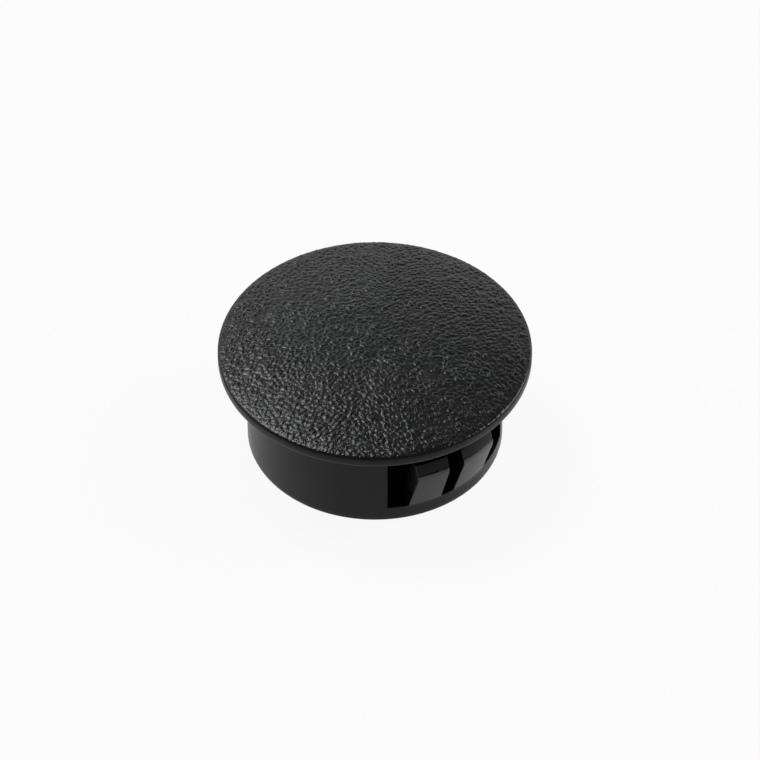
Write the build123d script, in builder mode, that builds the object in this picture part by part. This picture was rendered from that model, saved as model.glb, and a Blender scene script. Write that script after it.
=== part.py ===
"""Snap-in hole plug, moulded in one piece: a low domed head that covers the hole,
and a hollow skirt with two opposite windows, each with a pair of sprung fingers.

Origin at the middle of the head's underside, which lies on the panel. +Z points
out of the panel, and the two windows face +X and -X. Millimetres throughout.
"""

import os
from math import radians, sqrt, tan

from build123d import *

# Head
head_diameter = 30.0
rim_height = 1.12  # upright edge of the head
dome_rise = 1.3  # middle of the head above its rim
head_wall = 1.25  # between the dome and the ceiling inside
rim_chamfer = 0.2  # both edges of the rim

# Skirt
skirt_diameter = 24.7
skirt_wall = 1.2
skirt_depth = 9.9  # below the head's underside
foot_chamfer = 0.25  # outer edge of the foot, which leads into the hole

# Windows: one slide cuts each, so their sides are parallel
window_width = 14.45
window_offset = 0.97  # off the fingers' middle, which leaves a wider gap past the wider finger
foot_band = 1.69  # unbroken ring below the windows

# Fingers: each rises from the foot band and leans out to its ridge
finger_pair_width = 8.76  # two fingers and the slot between them
slot_width = 1.43  # where the slot meets the skirt's outside
slot_offset = -0.4  # off the window's middle, so one finger is the wider
slot_draft = 6.0  # degrees each side, opening outwards
ridge_reach = 1.38  # ridge beyond the skirt
ridge_thickness = 1.55  # finger through its ridge
ridge_land = 0.7  # upright strip along the ridge
seat_depth = 3.27  # top of the ridge below the head's underside
seat_ledge = 0.12  # step from the ridge in to the neck
neck_lean = 0.33  # neck draws in by this much up to its free end
free_end_gap = 2.17  # free end below the head's underside

# Derived sizes
head_radius = head_diameter / 2
skirt_radius = skirt_diameter / 2
bore_radius = skirt_radius - skirt_wall
window_foot = foot_band - skirt_depth
ridge_radius = skirt_radius + ridge_reach
ridge_foot = -seat_depth - ridge_land
finger_back = ridge_radius - ridge_thickness
neck_radius = ridge_radius - seat_ledge
dome_top = rim_height + dome_rise
dome_radius = (head_radius**2 + dome_rise**2) / (2 * dome_rise)
dome_centre = dome_top - dome_radius
ceiling_radius = dome_radius - head_wall
ceiling_edge = dome_centre + sqrt(ceiling_radius**2 - bore_radius**2)
slot_length = ridge_reach + skirt_wall
slot_mouth = slot_width + 2 * ridge_reach * tan(radians(slot_draft))

# Fingers: a turned ring of the finger's section, cut down to a pair on each side
with BuildPart() as fingers:
    with BuildSketch(Plane.XZ) as finger_section:
        with BuildLine():
            Polyline(
                (skirt_radius, window_foot),
                (ridge_radius, ridge_foot),
                (ridge_radius, -seat_depth),
                (neck_radius, -seat_depth),
                (neck_radius - neck_lean, -free_end_gap),
                (finger_back, -free_end_gap),
                (finger_back, ridge_foot),
                (bore_radius, window_foot),
                close=True,
            )
        make_face()
    revolve(axis=Axis.Z)
    with BuildSketch(Plane.XY) as finger_plan:
        with PolarLocations(0, 2):
            with Locations((ridge_radius / 2, 0)):
                Rectangle(ridge_radius, finger_pair_width)
            with Locations((ridge_radius - slot_length / 2, slot_offset)):
                Trapezoid(slot_mouth, slot_length, 90 - slot_draft, rotation=90, mode=Mode.SUBTRACT)
    extrude(amount=-skirt_depth, mode=Mode.INTERSECT)

with BuildPart() as hole_plug:
    # Head: its rim, and a dome that lies level at the middle
    with BuildSketch(Plane.XZ) as head_section:
        with BuildLine():
            crown = TangentArc((0, dome_top), (head_radius, rim_height), tangent=(1, 0))
            Polyline(crown @ 1, (head_radius, 0), (0, 0), crown @ 0)
        make_face()
    revolve(axis=Axis.Z)
    rim = faces().filter_by(GeomType.CYLINDER)
    chamfer(rim.edges().filter_by(GeomType.CIRCLE), length=rim_chamfer)

    # Skirt, with its outer foot edge broken
    with BuildSketch(Plane.XY) as skirt_plan:
        Circle(skirt_radius)
    extrude(amount=-skirt_depth)
    chamfer(edges().group_by(Axis.Z)[0], length=foot_chamfer)

    # Hollow: open at the foot, with a ceiling that follows the dome
    with BuildSketch(Plane.XZ) as hollow_section:
        with BuildLine():
            ceiling = TangentArc(
                (0, dome_top - head_wall), (bore_radius, ceiling_edge), tangent=(1, 0)
            )
            Polyline(ceiling @ 1, (bore_radius, -skirt_depth), (0, -skirt_depth), ceiling @ 0)
        make_face()
    revolve(axis=Axis.Z, mode=Mode.SUBTRACT)

    # Windows, from the head down to the foot band
    with BuildSketch(Plane.XY) as window_plan:
        with PolarLocations(0, 2):
            with Locations((head_radius / 2, window_offset)):
                Rectangle(head_radius, window_width)
    extrude(amount=window_foot, mode=Mode.SUBTRACT)

    add(fingers.part)

hole_plug.part.label = "hole_plug"
os.makedirs("parts", exist_ok=True)
export_step(hole_plug.part, "parts/hole_plug.step")
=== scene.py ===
"""Looks of the snap-in hole plug: a black nylon moulding with a grained dome, shown on a pale table.

The moulding is one closed body, worked out as surfaces over grids: the domed head with its
etched grain, and the skirt with its two windows and four sprung fingers. Lengths inside the
classes are millimetres and turn to metres when a mesh is made. The frame is the CAD's: the
head's underside lies at z = 0, +Z points out of the panel, and the windows face +X and -X.
"""

import logging
import math
from dataclasses import dataclass
from enum import Enum
from typing import ClassVar

import bpy
import numpy as np
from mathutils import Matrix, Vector


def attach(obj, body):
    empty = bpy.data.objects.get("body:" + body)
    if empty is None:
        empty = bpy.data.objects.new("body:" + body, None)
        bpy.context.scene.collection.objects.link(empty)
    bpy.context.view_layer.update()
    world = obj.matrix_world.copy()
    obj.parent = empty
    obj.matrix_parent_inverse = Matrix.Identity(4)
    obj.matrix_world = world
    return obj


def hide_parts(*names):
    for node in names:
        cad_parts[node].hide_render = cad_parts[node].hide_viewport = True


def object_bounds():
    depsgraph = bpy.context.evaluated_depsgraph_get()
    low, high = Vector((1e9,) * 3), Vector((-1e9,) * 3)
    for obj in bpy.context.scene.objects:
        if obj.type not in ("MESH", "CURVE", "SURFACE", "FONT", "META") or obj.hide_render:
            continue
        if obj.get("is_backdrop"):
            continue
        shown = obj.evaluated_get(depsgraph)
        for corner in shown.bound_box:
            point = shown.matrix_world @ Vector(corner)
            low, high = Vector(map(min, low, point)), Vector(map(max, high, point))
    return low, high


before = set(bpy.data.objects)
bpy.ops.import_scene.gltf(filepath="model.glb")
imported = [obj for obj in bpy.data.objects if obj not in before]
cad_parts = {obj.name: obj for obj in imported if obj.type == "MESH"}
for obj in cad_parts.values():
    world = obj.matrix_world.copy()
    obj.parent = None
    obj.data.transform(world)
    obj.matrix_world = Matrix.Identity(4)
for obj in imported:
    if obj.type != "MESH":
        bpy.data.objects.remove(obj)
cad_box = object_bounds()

log = logging.getLogger("hole_plug")
MM = 0.001


def linear(hex_colour: str) -> tuple[float, float, float, float]:
    """Turns an sRGB hex colour into Blender's linear colour.

    Args:
        hex_colour: Colour as "#rrggbb".

    Returns:
        Red, green, blue and an alpha of 1, all linear.
    """
    parts = np.array([int(hex_colour[i : i + 2], 16) for i in (1, 3, 5)]) / 255
    r, g, b = np.where(parts <= 0.04045, parts / 12.92, ((parts + 0.055) / 1.055) ** 2.4)
    return float(r), float(g), float(b), 1.0


def add_node(
    tree: bpy.types.NodeTree,
    kind: str,
    inputs: dict[str | int, object] | None = None,
    links: dict[str | int, bpy.types.NodeSocket] | None = None,
    **settings: object,
) -> bpy.types.Node:
    """Adds a shader node with its settings, socket values and links.

    Args:
        tree: Node tree that takes the node.
        kind: Node type, such as "ShaderNodeTexNoise".
        inputs: Constant value for each input socket, which goes by its name or its number.
        links: Output socket that feeds each input socket, by name or number.
        **settings: Properties of the node itself.

    Returns:
        The new node.
    """
    node = tree.nodes.new(kind)
    for name, value in settings.items():
        setattr(node, name, value)
    for name, value in (inputs or {}).items():
        node.inputs[name].default_value = value
    for name, source in (links or {}).items():
        tree.links.new(source, node.inputs[name])
    return node


def smoothstep(low: float, high: float, value: np.ndarray) -> np.ndarray:
    """Rises from 0 at low to 1 at high as 3t^2 - 2t^3, level at both ends.

    Args:
        low: Value up to which the result is 0.
        high: Value from which it is 1.
        value: Values to turn into shares.

    Returns:
        A share from 0 to 1 for each value.
    """
    t = np.clip((value - low) / (high - low), 0, 1)
    return t * t * (3 - 2 * t)


def wave(along: np.ndarray, across: np.ndarray, turn: float, slide: float, slip: float) -> np.ndarray:
    """A sine of one coordinate whose phase slides to and fro with the other.

    Args:
        along: The coordinate that the sine runs along.
        across: The coordinate that its phase slides with.
        turn: Radians of the sine per unit along.
        slide: Radians by which the phase slides either way.
        slip: Radians of the slide per unit across.

    Returns:
        Values from -1 to 1.
    """
    return np.sin(turn * along + slide * np.sin(slip * across))


class MouldFace(Enum):
    """How the mould's steel was finished, which is also the order of the material slots."""

    ETCHED = 0
    SATIN = 1
    POLISHED = 2


@dataclass(frozen=True)
class Shell:
    """A closed surface: its points in millimetres, and its faces as rows of point numbers."""

    points: np.ndarray
    faces: list[np.ndarray]
    finishes: list[MouldFace]
    crisp: np.ndarray  # for each point, whether its sharp edges are broken by the mould's small radius


@dataclass(frozen=True)
class PebbleGrain:
    """Etched leather grain: rounded pebbles of uneven size, parted by narrow valleys."""

    pitch: float = 0.52  # from pebble to pebble
    relief: float = 0.097  # from valley to crown
    swell: float = 0.012  # slow rise and fall under the pebbles
    flank: float = 0.9  # share of the pitch over which a flank rises
    lowest: float = 0.55  # height of the lowest pebble, as a share of the tallest one's
    bend: float = 0.22  # share of the pitch by which the rows of pebbles are bent
    # turn, slide and slip of the waves that bend u and v, and of those whose product is the swell
    bend_waves: tuple[tuple[float, ...], ...] = ((1.7, 2.0, 0.9), (1.9, 2.0, 1.1))
    swell_waves: tuple[tuple[float, ...], ...] = ((0.61, 1.3, 0.37), (0.53, 1.1, 0.43))
    table: tuple[int, int] = (97, 101)  # cells after which the pebbles repeat, past the head's size
    search: int = 2  # cells each way among which the nearest pebbles lie
    seed: int = 5

    def _sites(self) -> tuple[np.ndarray, np.ndarray]:
        """Offsets of the pebbles' centres in their cells, and their heights, on a wrapping table."""
        rng = np.random.default_rng(self.seed)
        return rng.random((*self.table, 2)), rng.random(self.table)

    def height(self, x: np.ndarray, y: np.ndarray) -> np.ndarray:
        """Grain height at each point.

        Each point finds its nearest and second nearest pebble centre among the cells round it.
        The difference t of the two distances, as a share of the flank, is 0 in the valley between
        them and largest on the crown. The pebble's height is 1 - (1 - t)^2, which is steep in the
        valley and rounds over at the crown, times the pebble's own tallness. Before that, slow
        waves bend the rows of cells, so that they don't show.

        Args:
            x: Plan coordinates in millimetres.
            y: Plan coordinates in millimetres.

        Returns:
            Heights in millimetres above the valley floor.
        """
        offsets, tallness = self._sites()
        u, v = x / self.pitch, y / self.pitch
        first, other = self.bend_waves
        u, v = u + self.bend * wave(v, u, *first), v + self.bend * wave(u, v, *other)
        column, row = np.floor(u).astype(int), np.floor(v).astype(int)
        nearest, second = np.full(u.shape, np.inf), np.full(u.shape, np.inf)
        own = np.zeros(u.shape)
        for i in range(-self.search, self.search + 1):
            for j in range(-self.search, self.search + 1):
                cell = (column + i) % self.table[0], (row + j) % self.table[1]
                jitter = offsets[cell]
                away = np.hypot(column + i + jitter[..., 0] - u, row + j + jitter[..., 1] - v)
                closer = away < nearest
                second = np.where(closer, nearest, np.minimum(second, away))
                own = np.where(closer, tallness[cell], own)
                nearest = np.where(closer, away, nearest)
        crown = 1 - (1 - np.clip((second - nearest) / self.flank, 0, 1)) ** 2
        tall = self.lowest + (1 - self.lowest) * own
        first, other = self.swell_waves
        slow = wave(u, v, *first) * wave(v, u, *other)
        return self.relief * crown * tall + self.swell * slow


@dataclass
class Head:
    """The domed cap: a grained crown, a smooth rim and a hollow that follows the dome."""

    radius: float
    top: float
    rim_height: float = 1.12
    wall: float = 1.25
    rim_round: float = 0.22
    bore_radius: float = 11.15
    grain: PebbleGrain = PebbleGrain()
    edge_fade: float = 0.45  # share of the grain that is gone at the crown's edge
    edge_band: float = 0.5  # over this width
    round_grain: tuple[float, ...] = (0.9, 0.5, 0.1, 0.0)  # share of it on each row of the upper round
    etched_share: float = 0.3  # more grain than this and the row counts as etched
    coarser: int = 4  # points of the rim to each point of the bore
    cells: int = 264  # grid cells across the crown, a multiple of that

    @property
    def dome_radius(self) -> float:
        """Radius of the sphere that the crown is part of, from the head's radius and its rise."""
        rise = self.top - self.rim_height
        return (self.radius**2 + rise**2) / (2 * rise)

    def dome(self, r: np.ndarray, depth: float = 0) -> np.ndarray:
        """Height of the crown's sphere at radius r, or of one that much inside it."""
        return self.top - self.dome_radius + np.sqrt((self.dome_radius - depth) ** 2 - r**2)

    @staticmethod
    def disc(cells: int) -> tuple[np.ndarray, np.ndarray, np.ndarray]:
        """A grid over the unit disc with cells of equal area.

        Squares about the centre turn to circles: the larger of |a| and |b| is the radius, and
        the other, as a share of it, runs through an eighth of a turn either side of its axis.

        Args:
            cells: Cells along each side of the square.

        Returns:
            The grid's x and y, and its faces as rows of point numbers.
        """
        a, b = np.meshgrid(np.linspace(-1, 1, cells + 1), np.linspace(-1, 1, cells + 1), indexing="ij")
        wide = np.abs(a) >= np.abs(b)
        reach = np.where(wide, a, b)
        other = np.where(wide, b, a)
        turn = math.pi / 4 * np.divide(other, reach, out=np.zeros_like(reach), where=reach != 0)
        along, across = reach * np.cos(turn), reach * np.sin(turn)
        x, y = np.where(wide, along, across), np.where(wide, across, along)
        number = np.arange((cells + 1) ** 2).reshape(cells + 1, cells + 1)
        faces = np.stack([number[:-1, :-1], number[1:, :-1], number[1:, 1:], number[:-1, 1:]], axis=-1)
        return x.ravel(), y.ravel(), faces.reshape(-1, 4)

    @staticmethod
    def border(cells: int) -> np.ndarray:
        """Numbers of the disc grid's outer points, in order, counter-clockwise from above."""
        number = np.arange((cells + 1) ** 2).reshape(cells + 1, cells + 1)
        return np.concatenate([number[:-1, 0], number[-1, :-1], number[:0:-1, -1], number[0, :0:-1]])

    def rim_profile(self) -> np.ndarray:
        """Down the rim: radius, height, the turn of the surface and how much grain it carries.

        The upper round is the arc that touches the crown's slope and the upright side, and the
        lower one touches the side and the underside. Both are points on circles. The grain runs
        over the upper round's edge and dies out on it.
        """
        n = self.rim_round
        lean = math.asin(self.radius / self.dome_radius)
        upper = np.linspace(math.pi / 2 - lean, 0, len(self.round_grain) + 1)[1:]
        lower = np.linspace(0, -math.pi / 2, len(self.round_grain))
        centre = self.rim_height + math.tan(lean) * n / 2 - n
        tilt = np.concatenate([upper, lower])
        middle = np.repeat([centre, n], [len(upper), len(lower)])
        share = np.concatenate([self.round_grain, np.zeros(len(lower))])
        return np.stack([self.radius - n + n * np.cos(tilt), middle + n * np.sin(tilt), tilt, share], axis=1)

    def shell(self) -> Shell:
        """The head's closed surface.

        The crown is the sphere's height over the disc grid plus the grain. Each row of the rim is
        the crown's border at that row's radius and height, pushed out along the round by its
        share of the grain. On the flat underside the rows pass to fewer points, which carry the
        bore and a plain disc grid for the ceiling.
        """
        face_radius = self.radius - self.rim_round
        x, y, crown = self.disc(self.cells)
        x, y = x * face_radius, y * face_radius
        r = np.hypot(x, y)
        fade = self.edge_fade * smoothstep(face_radius - self.edge_band, face_radius, r)
        grain = self.grain.height(x, y) * (1 - fade)
        points = [np.stack([x, y, self.dome(r) + grain], axis=1)]
        edge = self.border(self.cells)
        turn = np.arctan2(y[edge], x[edge])
        faces, finishes = [crown], [MouldFace.ETCHED]
        start = len(x)
        edge_grain = grain[edge]
        for radius, z, tilt, share in self.rim_profile():
            row = np.arange(start, start + len(edge))
            out = radius + share * edge_grain * math.cos(tilt)
            up = z + share * edge_grain * math.sin(tilt)
            points.append(np.stack([out * np.cos(turn), out * np.sin(turn), up], axis=1))
            ring = np.stack([edge, row, np.roll(row, -1), np.roll(edge, -1)], axis=1)
            faces.append(ring)
            finishes.append(MouldFace.ETCHED if share > self.etched_share else MouldFace.SATIN)
            edge = row
            start += len(row)

        step = self.coarser
        coarse_cells = self.cells // step
        cx, cy, ceiling = self.disc(coarse_cells)
        coarse_edge = self.border(coarse_cells)
        coarse_turn = np.arctan2(cy[coarse_edge], cx[coarse_edge])
        bore = np.arange(start, start + len(coarse_edge))
        circle = np.stack([np.cos(coarse_turn), np.sin(coarse_turn), np.zeros(len(coarse_turn))], axis=1)
        points.append(circle * self.bore_radius)
        groups, following = edge.reshape(-1, step), np.roll(edge, -step)[::step]
        faces.append(np.column_stack([groups, following, np.roll(bore, -1), bore])[:, ::-1])
        finishes.append(MouldFace.SATIN)
        start += len(bore)
        inside = np.hypot(cx, cy) * self.bore_radius
        roof = np.stack([cx * self.bore_radius, cy * self.bore_radius, self.dome(inside, self.wall)], axis=1)
        points.append(roof)
        faces.append(ceiling[:, ::-1] + start)
        finishes.append(MouldFace.SATIN)
        roof_edge = coarse_edge + start
        faces.append(np.stack([bore, roof_edge, np.roll(roof_edge, -1), np.roll(bore, -1)], axis=1))
        finishes.append(MouldFace.SATIN)
        every = np.concatenate(points)
        return Shell(every, faces, finishes, np.zeros(len(every), bool))


@dataclass
class Skirt:
    """The hollow skirt, its two windows with parallel sides, and a pair of fingers in each."""

    foot: float  # z of the foot, below the head's underside
    radius: float = 12.35
    bore_radius: float = 11.15
    foot_round: float = 0.25
    window_low: float = -6.25  # y of the window's two sides
    window_high: float = 8.2
    foot_band: float = 1.69
    pair_half: float = 4.38
    slot_width: float = 1.43
    slot_offset: float = -0.4
    slot_draft: float = 6.0
    ridge_reach: float = 1.38
    ridge_thickness: float = 1.55
    ridge_land: float = 0.7
    seat_depth: float = 3.27
    seat_ledge: float = 0.12
    neck_lean: float = 0.33
    free_end_gap: float = 2.17
    window_columns: tuple[int, ...] = (4, 14, 4, 14, 4)  # along each stretch of a window
    wall_columns: int = 72  # along each stretch of wall between the windows
    round_rows: int = 3  # up the foot's round
    band_rows: int = 3  # from there up to the sill
    wall_rows: int = 8  # and from the sill to the top
    sunk: float = 0.02  # how far the wall's top reaches into the head

    GAPS: ClassVar[tuple[int, ...]] = (0, 2, 4)  # the stretches beside and between a window's fingers
    FINGERS: ClassVar[tuple[int, ...]] = (1, 3)  # those of the fingers themselves
    WALL: ClassVar[int] = 5  # the stretch of wall after a window

    def lines(self) -> tuple[np.ndarray, np.ndarray, np.ndarray]:
        """The lines y = a + b x that the columns of one window follow, seen from above.

        Between the window's sides and the fingers' sides the lines lie parallel, and beside the
        slot they lean by its draft. Each stretch is divided evenly.

        Returns:
            a and b of each line from the window's low side to its high side, and the number of the
            stretch after each line: 0 and 4 beside the fingers, 1 and 3 the fingers, 2 the slot.
        """
        lean = math.tan(math.radians(self.slot_draft))
        low = self.slot_offset - self.slot_width / 2 + lean * self.radius
        high = self.slot_offset + self.slot_width / 2 - lean * self.radius
        a = np.array([self.window_low, -self.pair_half, low, high, self.pair_half, self.window_high])
        b = np.array([0, 0, -lean, lean, 0, 0])
        counts = self.window_columns
        at = np.concatenate([[0], *[k + np.arange(1, n + 1) / n for k, n in enumerate(counts)]])
        stretch = np.repeat(np.arange(len(counts)), counts)
        return np.interp(at, range(len(a)), a), np.interp(at, range(len(b)), b), stretch

    def plan(self, r: float) -> np.ndarray:
        """Where every column stands on the circle of radius r, seen from above.

        In a window a column is the crossing of its line with the circle, which is the positive
        root of (1 + b^2) x^2 + 2abx + a^2 - r^2 = 0. Along a wall the columns are evenly turned
        between the windows' sides. The second half is the first turned by half a turn.

        Args:
            r: Radius in millimetres.

        Returns:
            x and y of the columns, counter-clockwise from the first window's -Y side.
        """
        a, b, _ = self.lines()
        x = (-a * b + np.sqrt(r**2 * (1 + b**2) - a**2)) / (1 + b**2)
        window = np.stack([x, a + b * x], axis=1)
        near, far = math.asin(self.window_high / r), math.pi + math.asin(self.window_low / r)
        turn = np.linspace(near, far, self.wall_columns + 1)[1:-1]
        wall = r * np.stack([np.cos(turn), np.sin(turn)], axis=1)
        half = np.concatenate([window, wall])
        return np.concatenate([half, -half])

    def stretches(self) -> np.ndarray:
        """For each column, the stretch after it, numbered as in lines() and with the walls' own."""
        _, _, stretch = self.lines()
        half = np.concatenate([stretch, np.full(self.wall_columns, self.WALL)])
        return np.concatenate([half, half])

    def finger_profile(self) -> np.ndarray:
        """Radius and height round one finger, from its outer foot over the free end to its inner foot."""
        ridge = self.radius + self.ridge_reach
        neck = ridge - self.seat_ledge
        back = ridge - self.ridge_thickness
        ridge_foot = -self.seat_depth - self.ridge_land
        sill = self.foot + self.foot_band
        corners = [
            (self.radius, sill),
            (ridge, ridge_foot),
            (ridge, -self.seat_depth),
            (neck, -self.seat_depth),
            (neck - self.neck_lean, -self.free_end_gap),
            (back, -self.free_end_gap),
            (back, ridge_foot),
            (self.bore_radius, sill),
        ]
        return np.array(corners)

    def shell(self) -> Shell:
        """The skirt's closed surface.

        The outer and the inner wall are grids of columns by rows, without the cells of the
        windows. The sides and sills of the windows join the two walls. Each finger is its
        profile carried over its columns, from the sill's outer points round to its inner ones,
        and its two sides are single faces.
        """
        sill = self.foot + self.foot_band
        arc = np.linspace(math.pi / 2, 0, self.round_rows + 1)
        n = self.foot_round
        low = [(self.radius - n + n * math.cos(t), self.foot + n - n * math.sin(t)) for t in arc]
        band = np.linspace(self.foot + n, sill, self.band_rows + 1)[1:]
        rise = np.concatenate([band, np.linspace(sill, self.sunk, self.wall_rows + 1)[1:]])
        outer = np.array(low + [(self.radius, z) for z in rise])
        inner = np.array([(self.bore_radius, z) for z in [self.foot, *rise]])

        def carry(profile: np.ndarray) -> np.ndarray:
            """Every column's point at each radius and height of a profile."""
            flat = np.stack([self.plan(r) for r, _ in profile])
            heights = np.broadcast_to(profile[:, 1, None, None], (*flat.shape[:2], 1))
            return np.concatenate([flat, heights], axis=2)

        stretch = self.stretches()
        columns = len(stretch)
        out_points, in_points = carry(outer), carry(inner)
        out_number = np.arange(out_points.shape[0] * columns).reshape(-1, columns)
        in_number = out_number.size + np.arange(in_points.shape[0] * columns).reshape(-1, columns)
        after = np.roll(np.arange(columns), -1)
        is_wall = stretch == self.WALL
        faces = []

        def cells(number: np.ndarray, outward: bool) -> None:
            """Adds a wall's cells: all of them below the sill, and those between the windows above it."""
            quads = np.stack([number[:-1], number[:-1][:, after], number[1:][:, after], number[1:]], axis=-1)
            above = np.arange(len(quads)) >= len(quads) - self.wall_rows
            keep = ~above[:, None] | is_wall[None, :]
            faces.append(quads[keep] if outward else quads[keep][:, ::-1])

        cells(out_number, True)
        cells(in_number, False)
        bottom = np.stack([in_number[0], in_number[0][after], out_number[0][after], out_number[0]], axis=1)
        faces.append(bottom)
        roof = np.stack([out_number[-1], out_number[-1][after], in_number[-1][after], in_number[-1]], axis=1)
        faces.append(roof[is_wall])
        sill_row = -self.wall_rows - 1
        out_sill, in_sill = out_number[sill_row], in_number[sill_row]
        ledge = np.stack([out_sill, out_sill[after], in_sill[after], in_sill], axis=1)
        faces.append(ledge[np.isin(stretch, self.GAPS)])
        starts = is_wall & ~np.roll(is_wall, 1)
        ends = ~is_wall & np.roll(is_wall, 1)
        for where, flip in ((starts, False), (ends, True)):
            for k in np.flatnonzero(where):
                o, i = out_number[sill_row:, k], in_number[sill_row:, k]
                jamb = np.stack([o[:-1], o[1:], i[1:], i[:-1]], axis=1)
                faces.append(jamb if not flip else jamb[:, ::-1])

        finishes = [MouldFace.SATIN] * len(faces)
        points = [out_points.reshape(-1, 3), in_points.reshape(-1, 3)]
        start = out_number.size + in_number.size
        profile = self.finger_profile()
        body = carry(profile[1:-1])
        starts = np.isin(stretch, self.FINGERS) & (np.roll(stretch, 1) != stretch)
        for first in np.flatnonzero(starts):
            last = first + np.argmax(stretch[first:] != stretch[first])
            span = np.arange(first, last + 1)
            own = body[:, span]
            number = start + np.arange(own.shape[0] * len(span)).reshape(-1, len(span))
            number = np.concatenate([out_sill[None, span], number, in_sill[None, span]])
            points.append(own.reshape(-1, 3))
            start += own.shape[0] * len(span)
            skin = np.stack([number[:-1, :-1], number[:-1, 1:], number[1:, 1:], number[1:, :-1]], axis=-1)
            faces += [skin.reshape(-1, 4), number[None, :, 0], number[None, ::-1, -1]]
            finishes += [MouldFace.POLISHED] * 3
        every = np.concatenate(points)
        return Shell(every, faces, finishes, np.ones(len(every), bool))


@dataclass(frozen=True)
class MouldedNylon:
    """Black nylon 66 as moulded: a hard, faintly waxy plastic that takes its gloss from the mould.

    Against etched steel it comes out softly shiny on the pebbles, with fine creases between
    them. Against plain steel it comes out satin, with a fine tooth that blurs what it reflects,
    and against polished steel smooth enough for a clear sheen.
    """

    name: str
    face: MouldFace
    colour: str
    pale: str  # where the pigment lies a little thinner
    roughness: float
    tooth_pitch: float  # mm, finest roughness of the mould's steel, drawn as coarse as it shows
    tooth_depth: float  # mm
    gloss: float  # specular level, at which 0.5 is all that the index of refraction gives
    crease_depth: float = 0  # mm, of the creases that part the grain's pebbles
    crease_pitch: float = 0.44  # mm
    crease_half: float = 0.2  # half of a crease's width, as a share of the pitch
    crease_bend: float = 0.3  # mm to which a slow noise bends the creases
    bend_pitch: float = 0.5  # mm, of that noise
    cloud_pitch: float = 4.0  # mm, of the uneven flow
    cloud_tint: tuple[float, float] = (0.35, 0.65)  # its values between which the colour turns
    cloud_rough: tuple[float, float] = (0.3, 0.7)  # and those between which the roughness does
    cloud_swing: float = 0.03  # change of roughness, either way
    ior: float = 1.53

    def material(self) -> bpy.types.Material:
        """The finish as a material: colour cloud, roughness cloud and fine bump.

        The cloud is soft noise a few millimetres across, from uneven flow. It shifts the colour
        between its two hex values and the roughness by a few hundredths. The bump is noise at
        the tooth's pitch, over the creases where the finish has them.

        Returns:
            The new material.
        """
        made = bpy.data.materials.new(self.name)
        made.use_nodes = True
        tree = made.node_tree
        tree.nodes.clear()
        place = add_node(tree, "ShaderNodeTexCoord").outputs["Object"]
        cloud = add_node(
            tree,
            "ShaderNodeTexNoise",
            {"Scale": 1 / (self.cloud_pitch * MM), "Detail": 3.0},
            {"Vector": place},
        ).outputs["Fac"]
        tooth = add_node(
            tree,
            "ShaderNodeTexNoise",
            {"Scale": 1 / (self.tooth_pitch * MM), "Detail": 2.0},
            {"Vector": place},
        ).outputs["Fac"]
        tint = add_node(tree, "ShaderNodeValToRGB", links={"Fac": cloud})
        for stop, at, colour in zip(tint.color_ramp.elements, self.cloud_tint, (self.colour, self.pale)):
            stop.position = at
            stop.color = linear(colour)
        low, high = self.roughness - self.cloud_swing, self.roughness + self.cloud_swing
        rough = add_node(
            tree,
            "ShaderNodeMapRange",
            {
                "From Min": self.cloud_rough[0],
                "From Max": self.cloud_rough[1],
                "To Min": low,
                "To Max": high,
            },
            {"Value": cloud},
        )
        bump = add_node(
            tree,
            "ShaderNodeBump",
            {"Strength": 1.0, "Distance": self.tooth_depth * MM},
            {"Height": tooth},
        )
        if self.crease_depth:
            self.crease(tree, place, bump)
        shader = add_node(
            tree,
            "ShaderNodeBsdfPrincipled",
            {"IOR": self.ior, "Specular IOR Level": self.gloss},
            {
                "Base Color": tint.outputs["Color"],
                "Roughness": rough.outputs["Result"],
                "Normal": bump.outputs["Normal"],
            },
        )
        add_node(tree, "ShaderNodeOutputMaterial", links={"Surface": shader.outputs["BSDF"]})
        return made

    def crease(self, tree: bpy.types.NodeTree, place: bpy.types.NodeSocket, tooth: bpy.types.Node) -> None:
        """Cuts narrow creases between flat-topped pebbles under the tooth, seen from above.

        The height is 1 on a pebble and falls to 0 over the crease's half width, as a smooth step
        of the distance to the nearest border between two pebbles. A slow noise bends the borders.

        Args:
            tree: The material's nodes.
            place: Object coordinates.
            tooth: The bump of the fine tooth, which is laid over this one.
        """
        bend = add_node(
            tree,
            "ShaderNodeTexNoise",
            {"Scale": 1 / (self.bend_pitch * MM), "Detail": 1.0},
            {"Vector": place},
        )
        reach = self.crease_bend * MM
        shift = add_node(
            tree,
            "ShaderNodeVectorMath",
            {1: (reach, reach, 0)},
            {0: bend.outputs["Color"], 2: place},
            operation="MULTIPLY_ADD",
        )
        border = add_node(
            tree,
            "ShaderNodeTexVoronoi",
            {"Scale": 1 / (self.crease_pitch * MM)},
            {"Vector": shift.outputs[0]},
            feature="DISTANCE_TO_EDGE",
            voronoi_dimensions="2D",
        )
        height = add_node(
            tree,
            "ShaderNodeMapRange",
            {"From Max": self.crease_half},
            {"Value": border.outputs["Distance"]},
            interpolation_type="SMOOTHSTEP",
        )
        cut = add_node(
            tree,
            "ShaderNodeBump",
            {"Strength": 1.0, "Distance": self.crease_depth * MM},
            {"Height": height.outputs["Result"]},
        )
        tree.links.new(cut.outputs["Normal"], tooth.inputs["Normal"])


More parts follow.
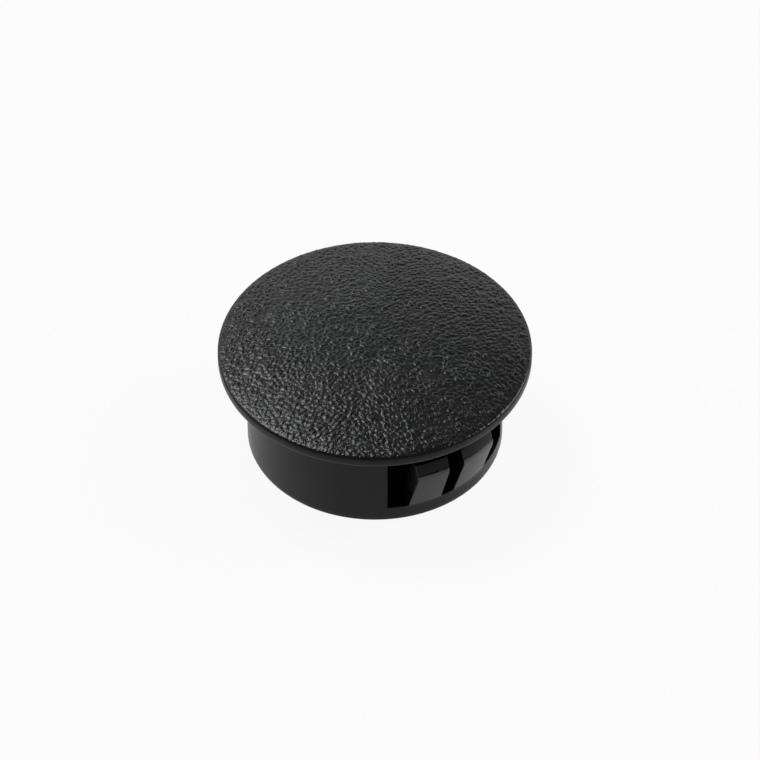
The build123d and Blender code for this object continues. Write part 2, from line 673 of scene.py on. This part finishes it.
FINISHES = (
    MouldedNylon(
        name="moulded_nylon_etched",
        face=MouldFace.ETCHED,
        colour="#0b0c0d",
        pale="#0f1011",
        roughness=0.25,
        tooth_pitch=0.09,
        tooth_depth=0.0025,
        gloss=0.5,
        crease_depth=0.009,
    ),
    MouldedNylon(
        name="moulded_nylon_satin",
        face=MouldFace.SATIN,
        colour="#0c0d0e",
        pale="#101112",
        roughness=0.34,
        tooth_pitch=0.2,
        tooth_depth=0.004,
        gloss=0.2,
    ),
    MouldedNylon(
        name="moulded_nylon_polished",
        face=MouldFace.POLISHED,
        colour="#0c0d0e",
        pale="#0f1011",
        roughness=0.24,
        tooth_pitch=0.12,
        tooth_depth=0.0012,
        gloss=0.42,
    ),
)


@dataclass
class Moulding:
    """The whole plug as one body: its shells, its broken edges and its three mould finishes."""

    head: Head
    skirt: Skirt
    edge_round: float = 0.07  # mm, what the mould's cutter left on its sharp edges
    edge_steps: int = 2  # faces across it
    crease: float = 25.0  # degrees, above which an edge counts as sharp

    def build(self) -> bpy.types.Object:
        """Joins the shells into one mesh and gives it its finishes and its rounded edges.

        Returns:
            The moulding, riding on the CAD's body and standing for its node.
        """
        shells = [self.head.shell(), self.skirt.shell()]
        first = np.cumsum([0] + [len(s.points) for s in shells])
        points = np.concatenate([s.points for s in shells]) * MM
        faces = [row for s, at in zip(shells, first) for block in s.faces for row in (block + at).tolist()]
        slots = [f.value for s in shells for block, f in zip(s.faces, s.finishes) for _ in range(len(block))]
        mesh = bpy.data.meshes.new("hole_plug_moulding")
        mesh.from_pydata(points, [], faces)
        mesh.polygons.foreach_set("material_index", slots)
        mesh.polygons.foreach_set("use_smooth", [True] * len(faces))
        mesh.validate()
        made = bpy.data.objects.new("hole_plug_moulding", mesh)
        bpy.context.collection.objects.link(made)
        for finish in FINISHES:
            mesh.materials.append(finish.material())
        crisp = np.concatenate([s.crisp for s in shells])
        self.weigh_edges(mesh, crisp)
        bevel = made.modifiers.new("broken_edges", "BEVEL")
        bevel.limit_method, bevel.width = "WEIGHT", self.edge_round * MM
        bevel.segments = self.edge_steps
        bevel.harden_normals = True
        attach(made, "root")
        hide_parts("hole_plug")
        log.info("%s: %d points, %d faces", made.name, len(points), len(faces))
        return made

    def weigh_edges(self, mesh: bpy.types.Mesh, crisp: np.ndarray) -> None:
        """Marks the edges that get a round: those between faces that turn by more than the crease.

        Each edge of a closed mesh has two face corners, so the corners sorted by their edge come
        in pairs, and the angle between the two faces' normals is the edge's turn.

        Args:
            mesh: The joined mesh.
            crisp: For each point, whether its edges may be rounded.
        """
        corners, edges, faces = len(mesh.loops), len(mesh.edges), len(mesh.polygons)
        edge_of = np.empty(corners, int)
        mesh.loops.foreach_get("edge_index", edge_of)
        total = np.empty(faces, int)
        mesh.polygons.foreach_get("loop_total", total)
        normal = np.empty(faces * 3)
        mesh.polygons.foreach_get("normal", normal)
        face_of = np.repeat(np.arange(faces), total)
        pairs = face_of[np.argsort(edge_of, kind="stable")].reshape(-1, 2)
        normal = normal.reshape(-1, 3)
        turn = np.degrees(np.arccos(np.clip((normal[pairs[:, 0]] * normal[pairs[:, 1]]).sum(1), -1, 1)))
        ends = np.empty(edges * 2, int)
        mesh.edges.foreach_get("vertices", ends)
        marked = (turn > self.crease) & crisp[ends.reshape(-1, 2)].all(1)
        weight = mesh.attributes.new("bevel_weight_edge", "FLOAT", "EDGE")
        weight.data.foreach_set("value", marked.astype(np.float32))


@dataclass(frozen=True)
class Softbox:
    """A square lamp behind diffusing cloth, placed round the object from the camera's side.

    Its bearing is degrees to the right of the camera as seen from above, so 180 is behind.
    """

    name: str
    bearing: float
    elevation: float
    distance: float  # metres
    size: float  # metres along each side
    radiance: float  # 1 is as bright as white paper in this light
    colour: str = "#fbfcff"  # daylight, a shade cooler than the card

    def place(self, facing: float, target: Vector) -> None:
        """Hangs the lamp and points it at the target.

        Args:
            facing: The camera's azimuth in degrees.
            target: Point that the lamp looks at.
        """
        way = direction(facing + self.bearing, self.elevation)
        lamp = bpy.data.lights.new(self.name, "AREA")
        lamp.shape, lamp.size = "SQUARE", self.size
        lamp.energy = self.radiance * math.pi * self.size**2
        lamp.color = linear(self.colour)[:3]
        made = bpy.data.objects.new(self.name, lamp)
        made.location = target + way * self.distance
        made.rotation_euler = (-way).to_track_quat("-Z", "Y").to_euler()
        bpy.context.collection.objects.link(made)


def direction(azimuth: float, elevation: float) -> Vector:
    """Unit vector from the object towards a viewer who looks along +Y at azimuth 0.

    Args:
        azimuth: Degrees by which the viewer has walked round the object, towards +X first.
        elevation: Degrees above the horizon.

    Returns:
        The direction as a vector of length 1.
    """
    a, e = math.radians(azimuth), math.radians(elevation)
    return Vector((math.sin(a) * math.cos(e), -math.cos(a) * math.cos(e), math.sin(e)))


@dataclass
class Studio:
    """A pale table in soft light, and the camera that looks down on it."""

    table: float  # z of the table top, in metres
    table_side: float = 1.5  # metres from its middle to its edges
    covered: float = 12.2 * MM  # painted shade: the dark colour the card is given under the plug, where the skirt shuts off the light
    covered_edge: float = 1 * MM  # width over which the painted shade darkens the card, inside that radius
    card_colour: str = "#f2f2f2"
    painted_shade_colour: str = "#0c0c0c"
    own_light: float = 0.92  # share of the table's light that is its own, to the camera
    pool: tuple[float, float] = (22 * MM, 40 * MM)  # radii between which the lit pool on it fades
    pool_light: float = 0.8  # brightness of the pool and of the table beyond it, as gloss shows them
    dim_light: float = 0.15
    wall_light: float = 1.0  # of the wall behind the object, as the camera looks
    front_light: float = 0.25  # of the wall behind the camera
    wall_turn: tuple[float, float] = (-0.2, 0.5)  # how far behind the object it goes from one to the other
    ceiling_light: float = 0.09
    ceiling_rise: tuple[float, float] = (0.33, 0.78)  # sines of elevation between which the walls end
    azimuth: float = 54.0  # degrees, of the camera
    elevation: float = 43.81
    distance: float = 0.4311  # metres from the point that it stands off from
    lens: float = 213.74  # mm
    aim_right: float = 0.489 * MM  # the camera looks this far right of that point
    aim_down: float = 2.391 * MM  # and this far below it
    aim_height: float = 0.126 * MM  # the point's height on the head's axis
    sensor: float = 36.0  # mm wide
    clip: tuple[float, float] = (0.01, 10.0)
    lamps: tuple[Softbox, ...] = (
        Softbox("key_softbox", bearing=-129.0, elevation=59.0, distance=0.6, size=0.25, radiance=7.0),
        Softbox("right_softbox", bearing=100.0, elevation=30.0, distance=0.8, size=0.45, radiance=3.5),
    )

    def build(self) -> None:
        """Lays the table, hangs the lamps, lights the room and sets the camera."""
        self.lay_table()
        self.light_room()
        for lamp in self.lamps:
            lamp.place(self.azimuth, Vector((0, 0, 0)))
        self.set_camera()

    def lay_table(self) -> None:
        """A wide flat table of white card, which the camera sees near white."""
        side = self.table_side
        mesh = bpy.data.meshes.new("table")
        corners = [(-side, -side), (side, -side), (side, side), (-side, side)]
        mesh.from_pydata([(x, y, self.table) for x, y in corners], [], [(0, 1, 2, 3)])
        made = bpy.data.objects.new("table", mesh)
        bpy.context.collection.objects.link(made)
        mesh.materials.append(self.card())
        made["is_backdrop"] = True

    def card(self) -> bpy.types.Material:
        """White card. Most of what the camera sees of it is its own light, so its shadow is faint.

        What gloss shows of it is its own light too: a bright pool round the plug that fades to
        a dim table. Under the plug, where no light gets in, the card is painted dark as shade
        and has no light of its own.

        Returns:
            The new material.
        """
        made = bpy.data.materials.new("white_card")
        made.use_nodes = True
        tree = made.node_tree
        tree.nodes.clear()
        path = add_node(tree, "ShaderNodeLightPath")
        glow = add_node(tree, "ShaderNodeEmission", {"Color": linear("#ffffff"), "Strength": 1.0})
        place = add_node(tree, "ShaderNodeTexCoord").outputs["Object"]
        flat = add_node(tree, "ShaderNodeVectorMath", {1: (1, 1, 0)}, {0: place}, operation="MULTIPLY")
        away = add_node(tree, "ShaderNodeVectorMath", links={0: flat.outputs[0]}, operation="LENGTH")
        outside = add_node(
            tree,
            "ShaderNodeMapRange",
            {"From Min": self.covered - self.covered_edge, "From Max": self.covered},
            {"Value": away.outputs["Value"]},
        ).outputs["Result"]
        # painted shade: inside the covered radius the card takes a near-black colour in place of its own
        # pale one
        card_and_painted_shade = {1: linear(self.painted_shade_colour), 2: linear(self.card_colour)}
        pale = add_node(tree, "ShaderNodeMixRGB", card_and_painted_shade, {0: outside})
        paper = add_node(tree, "ShaderNodeBsdfDiffuse", links={"Color": pale.outputs["Color"]})
        pool = add_node(
            tree,
            "ShaderNodeMapRange",
            {
                "From Min": self.pool[0],
                "From Max": self.pool[1],
                "To Min": self.pool_light,
                "To Max": self.dim_light,
            },
            {"Value": away.outputs["Value"]},
            interpolation_type="SMOOTHSTEP",
        )
        level = add_node(
            tree,
            "ShaderNodeMixRGB",
            {1: (1, 1, 1, 1)},
            {0: path.outputs["Is Glossy Ray"], 2: pool.outputs["Result"]},
        )
        tree.links.new(level.outputs["Color"], glow.inputs["Strength"])
        seen_ray = add_node(
            tree,
            "ShaderNodeMath",
            {1: self.own_light},
            {0: path.outputs["Is Camera Ray"], 2: path.outputs["Is Glossy Ray"]},
            operation="MULTIPLY_ADD",
            use_clamp=True,
        )
        share = add_node(
            tree, "ShaderNodeMath", links={0: outside, 1: seen_ray.outputs[0]}, operation="MULTIPLY"
        )
        seen = add_node(
            tree,
            "ShaderNodeMixShader",
            links={"Fac": share.outputs[0], 1: paper.outputs["BSDF"], 2: glow.outputs["Emission"]},
        )
        add_node(tree, "ShaderNodeOutputMaterial", links={"Surface": seen.outputs["Shader"]})
        return made

    def light_room(self) -> None:
        """A curved wall that fades up into a dim ceiling, all of which the camera sees as white.

        The wall is bright behind the object and dim behind the camera. How far behind the
        object a direction points is its part along the way the camera faces, and how high it
        points is the sine of its elevation.
        """
        world = bpy.data.worlds.new("room")
        bpy.context.scene.world = world
        world.use_nodes = True
        tree = world.node_tree
        tree.nodes.clear()
        path = add_node(tree, "ShaderNodeLightPath")
        way = add_node(tree, "ShaderNodeTexCoord").outputs["Generated"]
        rise = add_node(tree, "ShaderNodeSeparateXYZ", links={"Vector": way}).outputs["Z"]
        behind = add_node(
            tree, "ShaderNodeVectorMath", {1: -direction(self.azimuth, 0)}, {0: way}, operation="DOT_PRODUCT"
        ).outputs["Value"]
        wall = add_node(
            tree,
            "ShaderNodeMapRange",
            {
                "From Min": self.wall_turn[0],
                "From Max": self.wall_turn[1],
                "To Min": self.front_light,
                "To Max": self.wall_light,
            },
            {"Value": behind},
            interpolation_type="SMOOTHSTEP",
        )
        fade = add_node(
            tree,
            "ShaderNodeMapRange",
            {
                "From Min": self.ceiling_rise[0],
                "From Max": self.ceiling_rise[1],
                "To Max": self.ceiling_light,
            },
            {"Value": rise, "To Min": wall.outputs["Result"]},
            interpolation_type="SMOOTHSTEP",
        )
        dim = add_node(
            tree, "ShaderNodeBackground", {"Color": linear("#ffffff")}, {"Strength": fade.outputs["Result"]}
        )
        white = add_node(tree, "ShaderNodeBackground", {"Color": linear("#ffffff"), "Strength": 1.0})
        seen = add_node(
            tree,
            "ShaderNodeMixShader",
            links={
                "Fac": path.outputs["Is Camera Ray"],
                1: dim.outputs["Background"],
                2: white.outputs["Background"],
            },
        )
        add_node(tree, "ShaderNodeOutputWorld", links={"Surface": seen.outputs["Shader"]})

    def set_camera(self) -> None:
        """A long lens that looks down at the grained head and into one window."""
        back = direction(self.azimuth, self.elevation)
        turn = (-back).to_track_quat("-Z", "Y")
        right, up = turn @ Vector((1, 0, 0)), turn @ Vector((0, 1, 0))
        middle = Vector((0, 0, self.aim_height))
        place = middle + back * self.distance
        aim = middle + right * self.aim_right - up * self.aim_down
        data = bpy.data.cameras.new("camera")
        data.lens, data.sensor_width = self.lens, self.sensor
        data.clip_start, data.clip_end = self.clip
        made = bpy.data.objects.new("camera", data)
        made.location = place
        made.rotation_euler = (aim - place).to_track_quat("-Z", "Y").to_euler()
        bpy.context.collection.objects.link(made)
        bpy.context.scene.camera = made


def main() -> None:
    """Builds the plug and the studio."""
    logging.basicConfig(level=logging.INFO, format="%(name)s: %(message)s")
    low, high = cad_box
    moulding = Moulding(
        Head(radius=high.x / MM, top=high.z / MM),
        Skirt(foot=low.z / MM),
    )
    moulding.build()
    Studio(table=low.z).build()
    bpy.context.scene.view_settings.view_transform = "Standard"
    boxes = {"cad": cad_box, "visual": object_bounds()}
    for name, box in boxes.items():
        log.info("%s box: %s", name, [[round(v / MM, 3) for v in corner] for corner in box])


if __name__ == "__main__":
    main()
